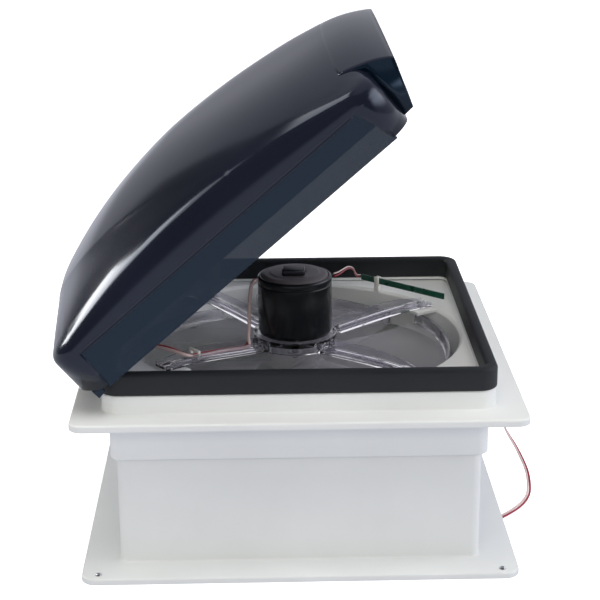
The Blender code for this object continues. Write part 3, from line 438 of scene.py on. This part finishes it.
SPIDER_ANGLES = (31.0, 129.0, 218.0, 310.0)
SHELF_TOP, THROAT = 176.0, 167.5


def shroud():
    """The white shelf with its round throat, and the tabs that carry the bracket's arms."""
    low, collar_low = SHELF_TOP - 3.5, 140.0
    half = half_size("fan_shroud")[0]
    profile = [(half, 14, low), (half, 14, SHELF_TOP)] + [
        (r, r, z) for r, z in ((THROAT + 3, SHELF_TOP), (THROAT, SHELF_TOP - 3),
                               (THROAT, collar_low), (THROAT + 2, collar_low), (THROAT + 2, low))]
    piece("fan_shroud_shell", square_ring(profile, edge=1.0, steps=24), "white_abs",
          stands_for=["fan_shroud", "fan_collar"])
    at, half_tab = Vector((159, 0, SHELF_TOP - 2.6)), Vector((16, 17, 1.9))
    for i, angle in enumerate(SPIDER_ANGLES):
        tab = piece(f"shroud_tab_{i + 1}", block(at - half_tab, at + half_tab), "white_abs",
                    matrix=turned(angle))
        bevelled(tab, 1.0, 3)


flange()
trim()
seal()
shroud()


# ---------------------------------------------------------------- fan, spider and motor

BLADES, FIRST_BLADE = 5, -14.0
BLADE_HEIGHT, BLADE_THICK, BLADE_ARCH = 155.5, 2.2, 5.0
BLADE_MARKS = ((25.0, 46, 12, 0), (62.0, 55, 12, 4), (110.0, 57, 11, 11), (157.0, 57, 9, 18))


def arm_section(radius, low, tall):
    """A channel with two low ribs on its floor, standing across the arm's direction."""
    w, t, floor, rib = 10.0, 1.6, 2.2, 3.4
    half = [(w, 0), (w - 0.4, tall), (w - t, tall), (w - t, floor), (4.0, floor), (3.6, rib),
            (2.6, rib), (2.2, floor)]
    outline = [(-w, 0)] + half + [(-y, z) for y, z in reversed(half[1:])]
    return [Vector((radius, y, low + z)) for y, z in outline]


def spider():
    """The clear bracket: a cup under the motor and four curved channel arms."""
    low, top = 166.0, 178.0
    bracket = piece("motor_bracket", lathe([
        (43, top), (43, low), (39, low), (39, low + 6), (9, low + 6), (9, top - 2), (30, top - 2),
        (30, top)], edge=0.6), "clear_plastic", stands_for=["motor_spider"])
    sections = smooth_route(((41, 167.5, 9.5), (70, 170.5, 10.5), (110, 174.5, 9.5),
                             (140, 176.4, 7.5), (166, 176.4, 4.5)), 9.0)
    arms = [piece(f"bracket_arm_{i + 1}", skin([arm_section(*row) for row in sections]),
                  "clear_plastic", matrix=turned(angle)) for i, angle in enumerate(SPIDER_ANGLES)]
    boolean(bracket, "UNION", *arms)


def blade_lift(rise, t):
    """Height of a twisted, slightly arched blade at a share t of its span from its middle."""
    return BLADE_HEIGHT + rise * t * 1.2 - BLADE_ARCH * t * t


def blade_row(radius, start, span, rise, sweep, count=18):
    """A blade's section at one radius: span and sweep are in degrees round the axis."""
    top = []
    for j in range(count + 1):
        t = j / count - 0.5
        top.append(polar(radius, start + sweep + span * t, blade_lift(rise, t)))
    return top + [p - Vector((0, 0, BLADE_THICK)) for p in reversed(top)]


def blade(start, steps=12):
    """A thin twisted blade from the hub to its tip, through (radius, span, rise, sweep) marks."""
    marks = [Vector(m) for m in BLADE_MARKS]
    sections = []
    for k in range(steps + 1):
        at = k / steps * (len(marks) - 1)
        i = min(len(marks) - 2, int(at))
        radius, span, rise, sweep = marks[i].lerp(marks[i + 1], at - i)
        sections.append(blade_row(radius, start, span, rise, sweep))
    bm = skin(sections, capped=False)
    bm.verts.ensure_lookup_table()
    size = len(sections[0])
    for first in (0, size * (len(sections) - 1)):
        row = [bm.verts[first + i] for i in range(size)]
        for i in range(size // 2 - 1):
            bm.faces.new((row[i], row[i + 1], row[-2 - i], row[-1 - i]))
    return bm


def blade_tip(start, count=18):
    """The upright rim along a blade's tip."""
    span, rise, sweep = BLADE_MARKS[-1][1:]
    sections = []
    for j in range(count + 1):
        t = j / count - 0.5
        z = blade_lift(rise, t)
        sections.append([polar(r, start + sweep + span * t, z + dz) for r, dz in
                         ((158, -3.4), (158, 8.0), (155.4, 8.0), (153.5, -3.4))])
    return skin(sections)


def fan():
    """The hub joined with its blades, and the clearer rims on the blades' tips."""
    hub_low, hub_top = 146.0, 163.0
    hub = piece("fan_rotor", lathe([
        (28, hub_top), (30, hub_top - 3), (30, hub_low), (27, hub_low), (26, hub_top - 4),
        (3.4, hub_top - 4), (3.4, hub_top)], edge=0.6), "clear_blade", "fan",
        stands_for=["fan_impeller"])
    blades = []
    for i in range(BLADES):
        start = FIRST_BLADE + 360 / BLADES * i
        blades.append(piece(f"fan_blade_{i + 1}", blade(start), "clear_blade", "fan"))
        piece(f"fan_tip_{i + 1}", blade_tip(start), "clear_plastic", "fan")
    boolean(hub, "UNION", *blades)


def motor():
    """The can with its rolled edges and bead, and the cap with a raised ring."""
    r, low, top = half_size("motor_can")
    piece("motor_can_body", lathe([
        (r - 3, top), (r - 1.2, top), (r, top - 1.4), (r, top - 7), (r - 0.5, top - 7.6),
        (r, top - 8.2), (r, low + 3.5), (r - 1.5, low), (5, low), (5, low + 8), (r - 3, low + 8)],
        edge=0.5, sides=96), "motor_black", stands_for=["motor_can"])
    cap = top - 0.2
    piece("motor_cap_body", lathe([
        (0, cap + 2.2), (11, cap + 2.2), (12, cap + 3.2), (24, cap + 3.4), (26, cap + 2.6),
        (31, cap + 2.4), (r - 3.7, cap + 0.6), (r - 3.7, top - 6), (0, top - 6)],
        edge=0.5, sides=96), "motor_cap", stands_for=["motor_end_cap"])


spider()
fan()
motor()


# ---------------------------------------------------------------- lid

# Places on the closed lid are given along it, across it (y) and up; the hinge is one of them.
HINGE_ALONG, HINGE_UP = -33.8, 11.2
LID_MIDDLE, LID_HALF_LONG, LID_HALF_WIDE = 167.0, 193.0, 195.0
LID_CORNER, INNER_CORNER, LID_WALL = 24.0, 14.0, 2.2
ROLL, CROWN_HALF = 23.0, 179.0
CREST, CREST_ALONG = 108.8, 155.0
CREASE_DEPTH, CREASE_WAIST, CREASE_SPREAD = 1.2, 38.0, 0.572
PANEL_TOP, PANEL_LOW = 44.0, 41.0
LINER_MIDDLE, VISOR_HALF, VISOR_START = 171.5, 152.0, 337.0
# Shares of the unit square's half side: where corners begin, where the side panels end, where the
# cover's wall steps down at the hinge end, and where it is down again at the far end.
CORNER_SHARE, PANEL_SHARE, STEP_SHARE, WALL_SHARE = 0.86, 0.83, 0.835, 0.905


def crest_height(along):
    """Height of the lid's crown on its centre line."""
    if along < CREST_ALONG:
        return CREST - 35.0 * ((CREST_ALONG - along) / 172) ** 2
    return CREST - 26.7 * ((along - CREST_ALONG) / 200) ** 1.5


def shoulder_height(along):
    """Height of the rolled shoulder along the lid's sides."""
    return 80 - 25 * ((along - 171) / 188) ** 2


def lid_height(along, y):
    """Height of the lid's top inside the rolled edge.

    A crease on each side spreads from the hinge end, and beyond it the crown has a shallow channel
    that fades out along the lid. The factor 6.75 makes the channel's curve 1 at its deepest.
    """
    inward = max(0.0, 1 - abs(y) / CROWN_HALF)
    fullness = 1.9 + 1.1 * smoothstep((along - 90) / 170) - 0.7 * smoothstep((along - 290) / 70)
    shoulder, crest = shoulder_height(along), crest_height(along)
    crown = shoulder + (crest - shoulder) * (1 - (1 - inward) ** fullness)
    crease = CREASE_WAIST + CREASE_SPREAD * (along - LID_MIDDLE + LID_HALF_LONG)
    depth = CREASE_DEPTH * (1 - smoothstep((along - 90) / 140))
    across = min(1.0, max(0.0, (abs(y) - crease) / max(1.0, CROWN_HALF - crease)))
    return crown - depth * 6.75 * across * (1 - across) ** 2


def lid_point(along, y, up):
    """A place on the lid in the frame about its hinge."""
    return Vector((along - HINGE_ALONG, y, up - HINGE_UP))


def square_to_lid(s, t, inset, radius):
    """Maps a point of the unit square onto the lid's rounded outline, scaled about its middle."""
    m = max(abs(s), abs(t))
    if m == 0:
        return LID_MIDDLE, 0.0
    u, v = s / m, t / m
    flat_x, flat_y = LID_HALF_LONG - inset - radius, LID_HALF_WIDE - inset - radius
    lesser = min(abs(u), abs(v))
    turn = max(0.0, (lesser - CORNER_SHARE) / (1 - CORNER_SHARE)) * math.pi / 4
    if abs(v) >= abs(u):
        x = min(lesser / CORNER_SHARE, 1) * flat_x + radius * math.sin(turn)
        y = flat_y + radius * math.cos(turn)
    else:
        x = flat_x + radius * math.cos(turn)
        y = min(lesser / CORNER_SHARE, 1) * flat_y + radius * math.sin(turn)
    return LID_MIDDLE + math.copysign(x, u) * m, math.copysign(y, v) * m


def lid_marks(middle_steps=116):
    """Places along one side of the unit square, closer together at the panels' ends and corners."""
    inner = [PANEL_SHARE * (2 * i / middle_steps - 1) for i in range(middle_steps + 1)]
    outer = [0.8396, 0.86, 0.88, 0.905, 0.925, 0.945, 0.963, 0.98, 1.0]
    return [-m for m in reversed(outer)] + inner + outer


def wall_share(s):
    """How far the cover's long side walls reach down: 0 above the side panels, 1 at their ends."""
    if s <= -PANEL_SHARE:
        return 1.0 if s < -STEP_SHARE else 0.0
    return min(1.0, max(0.0, (s - PANEL_SHARE) / (WALL_SHARE - PANEL_SHARE)))


def roll_point(t, edge, fall):
    """Inset and height along the rolled edge, from the crown's slope round to the upright wall."""
    reach, drop = 0.62 * ROLL, 0.66 * (edge - PANEL_TOP)
    corners = [Vector((ROLL, edge)), Vector((ROLL - reach, edge - fall * reach)),
               Vector((0, PANEL_TOP + drop)), Vector((0, PANEL_TOP))]
    p = (corners[0] * (1 - t) ** 3 + corners[1] * (3 * t * (1 - t) ** 2)
         + corners[2] * (3 * t * t * (1 - t)) + corners[3] * t ** 3)
    return p.x, p.y


def lid_foot(along):
    """Height of the cover's lower edge, which rises at the hinge end."""
    return 3.0 + 9.0 * smoothstep((-2 - along) / 24)


def lid_cover():
    """The glossy cover: crown, rolled shoulder and short side walls that end above the panels."""
    marks = lid_marks()
    rim = ([(m, -1) for m in marks[:-1]] + [(1, m) for m in marks[:-1]]
           + [(m, 1) for m in marks[:0:-1]] + [(-1, m) for m in marks[:0:-1]])
    bm = bmesh.new()
    top = {}
    for i, s in enumerate(marks):
        for j, t in enumerate(marks):
            along, y = square_to_lid(s, t, ROLL, INNER_CORNER)
            top[i, j] = bm.verts.new(lid_point(along, y, lid_height(along, y)))
    last = len(marks) - 1
    for i in range(last):
        for j in range(last):
            bm.faces.new((top[i, j], top[i + 1, j], top[i + 1, j + 1], top[i, j + 1]))
    edges, falls = [], []
    for s, t in rim:
        edge = lid_height(*square_to_lid(s, t, ROLL, INNER_CORNER))
        edges.append(edge)
        falls.append(edge - lid_height(*square_to_lid(s, t, ROLL - 1, INNER_CORNER)))

    rows = [[top[i, 0] for i in range(last)] + [top[last, j] for j in range(last)]
            + [top[last - i, last] for i in range(last)] + [top[0, last - j] for j in range(last)]]
    steps = 14
    for k in range(1, steps + 1):
        made = []
        for (s, t), edge, fall in zip(rim, edges, falls):
            inset, up = roll_point(k / steps, edge, fall)
            radius = LID_CORNER + (INNER_CORNER - LID_CORNER) * inset / ROLL
            along, y = square_to_lid(s, t, inset, radius)
            made.append(bm.verts.new(lid_point(along, y, up)))
        rows.append(made)
    for drop, step_in in ((0.6, 0.0), (1.0, 0.5), (3.0, 0.8), (None, 0.8)):
        made = []
        for s, t in rim:
            share = wall_share(s) if abs(t) == 1 else 1.0
            along, y = square_to_lid(s, t, 0, LID_CORNER)
            y -= math.copysign(step_in * (1 - share), y)
            foot = lid_foot(along) * share + PANEL_LOW * (1 - share)
            up = foot if drop is None else PANEL_TOP - drop
            made.append(bm.verts.new(lid_point(along, y, max(up, foot))))
        rows.append(made)
    for upper, lower in zip(rows, rows[1:]):
        for i in range(len(upper)):
            j = (i + 1) % len(upper)
            bm.faces.new((upper[i], upper[j], lower[j], lower[i]))
    cover = piece("lid_shell", bm, "lid_gloss", "lid", ["lid_cover"], LID, smooth=50)
    solidified(cover, LID_WALL)


def side_slab(name, outline, inner, outer, side):
    """A flat plate along one of the lid's long sides, drawn in (along, up)."""
    rows = [[lid_point(along, side * y, up) for along, up in outline] for y in (inner, outer)]
    return bevelled(piece(name, skin(rows), "lid_smoke", "lid", matrix=LID), 0.7, 3)


def lid_skirt():
    """The smoke-tinted liner: the ring that meets the seal, the side panels and the corner feet."""
    low, rib_low, web_low, web_top = 35.0, 34.8, 37.8, 40.0
    rings = []
    for half_x, half_y, radius, up in (
            (184.4, 190.9, 23, low), (184.4, 190.9, 23, web_top), (176.2, 176.2, 9, web_top),
            (176.2, 176.2, 9, rib_low), (180.4, 180.4, 12, rib_low), (180.4, 180.4, 12, web_low),
            (182.4, 188.9, 21, web_low), (182.4, 188.9, 21, low)):
        rings.append([p + lid_point(LINER_MIDDLE, 0, 0) for p in
                      rounded_square(half_x, half_y, radius, up, 10)])
    liner = piece("lid_liner", skin(rings, ring=True), "lid_smoke", "lid", ["lid_skirt"], LID)
    bevelled(liner, 0.4)
    panel = [(1.0, 0.2), (344.6, 0.6), (333.0, 42.0), (2.4, 42.0)]
    band = [(5.0, 20.0), (338.0, 20.0), (334.0, 39.0), (5.0, 39.0)]
    foot = [(-9.6, 38), (-9.6, 4.2), (-15.6, 7.2), (-15.2, -2.8), (-7, -1.5), (-6, 10),
            (8, 30), (8, 38)]
    for name, side in (("front", -1), ("rear", 1)):
        side_slab(f"lid_panel_{name}", panel, 190.0, 194.0, side)
        backing = side_slab(f"lid_backing_{name}", band, 187.6, 189.6, side)
        backing.data.materials[0] = MATERIALS["lid_dark"]
        side_slab(f"lid_foot_{name}", foot, 185.2, 190.2, side)


def visor_row(y, steps=10):
    """The deflector's top at one place across the lid: on from the crown, then down to its lip."""
    bulge = 1 - (y / VISOR_HALF) ** 2
    start = lid_height(VISOR_START, y) - 0.1
    slope = (lid_height(VISOR_START, y) - lid_height(VISOR_START - 6, y)) / 6
    lip = Vector((385.3 + 3 * bulge, 48.2 + 9 * bulge))
    first = Vector((VISOR_START, start))
    reach = first + 22 * Vector((1, max(slope, -0.35)))
    knee = Vector((374.0, 57.5 + 15.5 * bulge))
    row = []
    for k in range(steps + 1):
        t = k / steps
        row.append(first * (1 - t) ** 3 + reach * (3 * t * (1 - t) ** 2)
                   + knee * (3 * t * t * (1 - t)) + lip * t ** 3)
    return [lid_point(p.x, y, p.y) for p in row], bulge


def lid_visor():
    """The deflector over the far end: a glossy top, and faces under and beside it given a darker
    finish whose darkness is painted shade.
    """
    count = 48
    top, under = bmesh.new(), bmesh.new()
    top_rows, under_rows, ends = [], [], []
    for i in range(count + 1):
        y = VISOR_HALF * (2 * i / count - 1)
        line, bulge = visor_row(y)
        top_rows.append([top.verts.new(p) for p in line])
        under_rows.append([under.verts.new(p) for p in (
            line[-1], lid_point(384.6 + 3 * bulge, y, 45.4 + 9 * bulge),
            lid_point(369.6 + 2 * bulge, y, 3.6))])
        ends.append(line)
    for bm, rows in ((top, top_rows), (under, under_rows)):
        for a, b in zip(rows, rows[1:]):
            for i in range(len(a) - 1):
                bm.faces.new((a[i], a[i + 1], b[i + 1], b[i]))
    for row, line, side in ((under_rows[0], ends[0], -1), (under_rows[-1], ends[-1], 1)):
        back = [under.verts.new(lid_point(along, side * VISOR_HALF, up))
                for along, up in ((359.4, 3.0), (359.4, 47.0), (357.0, 58.5))]
        crest = [under.verts.new(p) for p in line[2:-1]]
        corner = [*row, *back, *crest]
        under.faces.new(corner if side < 0 else corner[::-1])
    # The faces under and beside the deflector get the darker finish, which paints shade on them.
    visor = piece("lid_deflector", under, "lid_dark", "lid", ["lid_visor"], LID)
    solidified(visor, LID_WALL)
    brow = piece("lid_deflector_top", top, "lid_gloss", "lid", matrix=LID, smooth=50)
    solidified(brow, LID_WALL)


lid_cover()
lid_skirt()
lid_visor()


# ---------------------------------------------------------------- pieces shown as the frame has them

def dress(prefixes, finish_name, edge=0.25):
    """Gives frame nodes their finish, smooth shading and slightly rounded edges."""
    for name, obj in frame["nodes"].items():
        if not name.startswith(prefixes) or obj.hide_render:
            continue
        obj.data.materials.clear()
        obj.data.materials.append(MATERIALS[finish_name])
        obj.data.shade_smooth()
        obj.data.set_sharp_from_angle(angle=math.radians(35))
        weld = obj.modifiers.new("weld", "WELD")
        weld.merge_threshold = 0.000001
        if edge:
            bevelled(obj, edge)


dress(("grommet",), "seal_rubber")
dress(("trim_screw", "spider_screw", "motor_screw", "motor_shaft", "hinge_screw", "hinge_pin",
       "lift_pivot_pin"), "steel", 0.12)
dress(("worm_shaft",), "steel", 0.0)
dress(("fan_nut", "lift_lever", "lift_track"), "zinc")
dress(("worm_wheel",), "brass", 0.1)
dress(("screen_frame", "control_housing", "lift_frame"), "white_abs", 0.3)
dress(("insect_screen",), "screen_mesh", 0.0)
dress(("motor_terminal",), "black_plastic", 0.4)
dress(("motor_wire_red", "sensor_lead_red"), "wire_red", 0.0)
dress(("motor_wire_white", "sensor_lead_white"), "wire_white", 0.0)
for name in ("motor_wire_red", "motor_wire_white"):
    swell = frame["nodes"][name].modifiers.new("insulation", "DISPLACE")
    swell.strength = 0.9 * MM
    swell.mid_level = 0.0
dress(("motor_loom", "supply_loom"), "black_plastic", 0.0)
dress(("wire_clip", "board_holder", "track_roller"), "acetal", 0.2)
dress(("sensor_board",), "board_green", 0.15)
dress(("speed_knob", "lid_open_button", "lid_close_button", "hinge_bracket", "hinge_leaf",
       "manual_knob"), "grey_plastic", 0.3)
dress(("lift_motor",), "motor_cap", 0.3)


# ---------------------------------------------------------------- studio

FLOOR_GLOW = 0.75
ROOM_TINT, FILL_TINT = (0.96, 0.98, 1.10), (1.03, 1.0, 0.90)
DARK_WALL, BACK_WALL, RIGHT_WALL, FLOOR_LIGHT, CEILING_LIGHT = 0.09, 0.38, 3.2, 0.72, 0.40
BACK_WALL_EDGE = (-32.5, -29.5)


def stage_material(name, colour, emission):
    made = bpy.data.materials.new(name)
    made.use_nodes = True
    bsdf = made.node_tree.nodes["Principled BSDF"]
    bsdf.inputs["Base Color"].default_value = (*colour, 1)
    bsdf.inputs["Roughness"].default_value = 0.9
    bsdf.inputs["Specular IOR Level"].default_value = 0.1
    bsdf.inputs["Emission Color"].default_value = (1, 1, 1, 1)
    bsdf.inputs["Emission Strength"].default_value = emission
    return made


def floor():
    """The pale floor, and a pale dome behind everything; the object doesn't mirror either."""
    bm = bmesh.new()
    bmesh.ops.create_grid(bm, x_segments=1, y_segments=1, size=60)
    mesh = bpy.data.meshes.new("floor")
    bm.to_mesh(mesh)
    bm.free()
    mesh.materials.append(stage_material("floor", (0.9, 0.9, 0.9), FLOOR_GLOW))
    ground = bpy.data.objects.new("floor", mesh)
    ground.location.z = -0.0004
    bm = bmesh.new()
    bmesh.ops.create_uvsphere(bm, u_segments=48, v_segments=24, radius=50)
    mesh = bpy.data.meshes.new("dome")
    bm.to_mesh(mesh)
    bm.free()
    mesh.materials.append(stage_material("dome", (0.0, 0.0, 0.0), 1.0))
    dome = bpy.data.objects.new("dome", mesh)
    dome.visible_shadow = False
    for made in (ground, dome):
        bpy.context.scene.collection.objects.link(made)
        made.visible_diffuse = False
        made.visible_glossy = False


def softbox(name, first, last, aim, width, radiance, gloss=True, diffuse=True, colour=(1, 1, 1)):
    """A strip light between two points that faces aim, of this brightness whatever its size."""
    first, last, aim = Vector(first), Vector(last), Vector(aim)
    data = bpy.data.lights.new(name, "AREA")
    data.shape = "RECTANGLE"
    data.size, data.size_y = (last - first).length, width
    data.energy = radiance * math.pi * data.size * data.size_y
    data.color = colour
    made = bpy.data.objects.new(name, data)
    across = (last - first).normalized()
    away = ((first + last) / 2 - aim).normalized()
    away = (away - across * away.dot(across)).normalized()
    turn = Matrix((across, away.cross(across), away)).transposed().to_4x4()
    made.matrix_world = Matrix.Translation((first + last) / 2) @ turn
    made.visible_camera = False
    made.visible_glossy = gloss
    made.visible_diffuse = diffuse
    bpy.context.scene.collection.objects.link(made)


def world():
    """The room as reflections show it: bright floor and ceiling, a grey wall behind, a bright one
    on the right, and the rest dark."""
    made = bpy.data.worlds.new("studio")
    bpy.context.scene.world = made
    made.use_nodes = True
    tree = made.node_tree
    where = node(tree, "ShaderNodeTexCoord").outputs["Generated"]
    split = node(tree, "ShaderNodeSeparateXYZ", {"Vector": where}).outputs

    def fade(source, start, end, first, last):
        return node(tree, "ShaderNodeMapRange", {
            "Value": source, "From Min": start, "From Max": end, "To Min": first, "To Max": last},
            interpolation_type="SMOOTHSTEP").outputs["Result"]

    def combine(operation, a, b):
        return node(tree, "ShaderNodeMath", {0: a, 1: b}, operation=operation).outputs[0]

    rise_squared = combine("MULTIPLY", split["Z"], split["Z"])
    heading = combine("ADD", combine("ARCTAN2", split["X"], split["Y"]),
                      combine("MULTIPLY", rise_squared, 0.5))
    start, end = (math.radians(a) for a in BACK_WALL_EDGE)
    back = combine("MULTIPLY", fade(heading, start, end, 0.0, BACK_WALL),
                   fade(split["Y"], -0.5, 0.1, 0.0, 1.0))
    walls = combine("MAXIMUM", back, DARK_WALL)
    ground = fade(split["Z"], -0.11, 0.03, FLOOR_LIGHT, 0.0)
    ceiling = fade(split["Z"], 0.80, 0.95, 0.0, CEILING_LIGHT)
    right = combine("MULTIPLY", fade(split["X"], 0.66, 0.88, 0.0, RIGHT_WALL),
                    fade(split["Z"], 0.12, 0.42, 0.1, 1.0))
    room = combine("MAXIMUM", combine("MAXIMUM", walls, ground), combine("MAXIMUM", ceiling, right))
    background = tree.nodes["Background"]
    background.inputs["Color"].default_value = (*ROOM_TINT, 1)
    tree.links.new(room, background.inputs["Strength"])


bpy.context.scene.view_settings.view_transform = "Standard"
floor()
world()
for name, first, last, aim, width, radiance in (
        ("streak_low", (-1.76, 1.59, 0.57), (-2.23, 0.57, 1.26), (-0.17, -0.18, 0.28), 0.38, 9.0),
        ("streak_middle", (-2.15, 0.57, 1.33), (-2.07, -0.12, 1.71), (-0.09, -0.19, 0.36), 0.38, 4.0),
        ("streak_high", (-2.20, 0.57, 1.30), (-1.88, -0.44, 1.93), (-0.09, -0.19, 0.36), 0.50, 2.2),
        ("corner_strip", (-1.45, -0.19, 2.34), (-1.15, 0.99, 2.17), (0.03, -0.19, 0.45), 0.30, 3.0)):
    softbox(name, first, last, aim, width, radiance, diffuse=False)
for name, first, last, width, radiance in (
        ("overhead_fill", (-1.8, -0.6, 3.0), (1.2, -0.6, 3.0), 2.4, 2.4),
        ("front_fill", (-1.6, -3.0, 1.4), (0.8, -3.0, 1.4), 1.4, 3.0),
        ("left_fill", (-2.8, -1.8, 1.3), (-2.8, 0.4, 1.3), 1.4, 1.8),
        ("right_fill", (2.6, -1.6, 1.0), (2.6, 0.8, 1.0), 1.2, 1.5)):
    softbox(name, first, last, (0, 0, 0.2), width, radiance, gloss=False, colour=FILL_TINT)
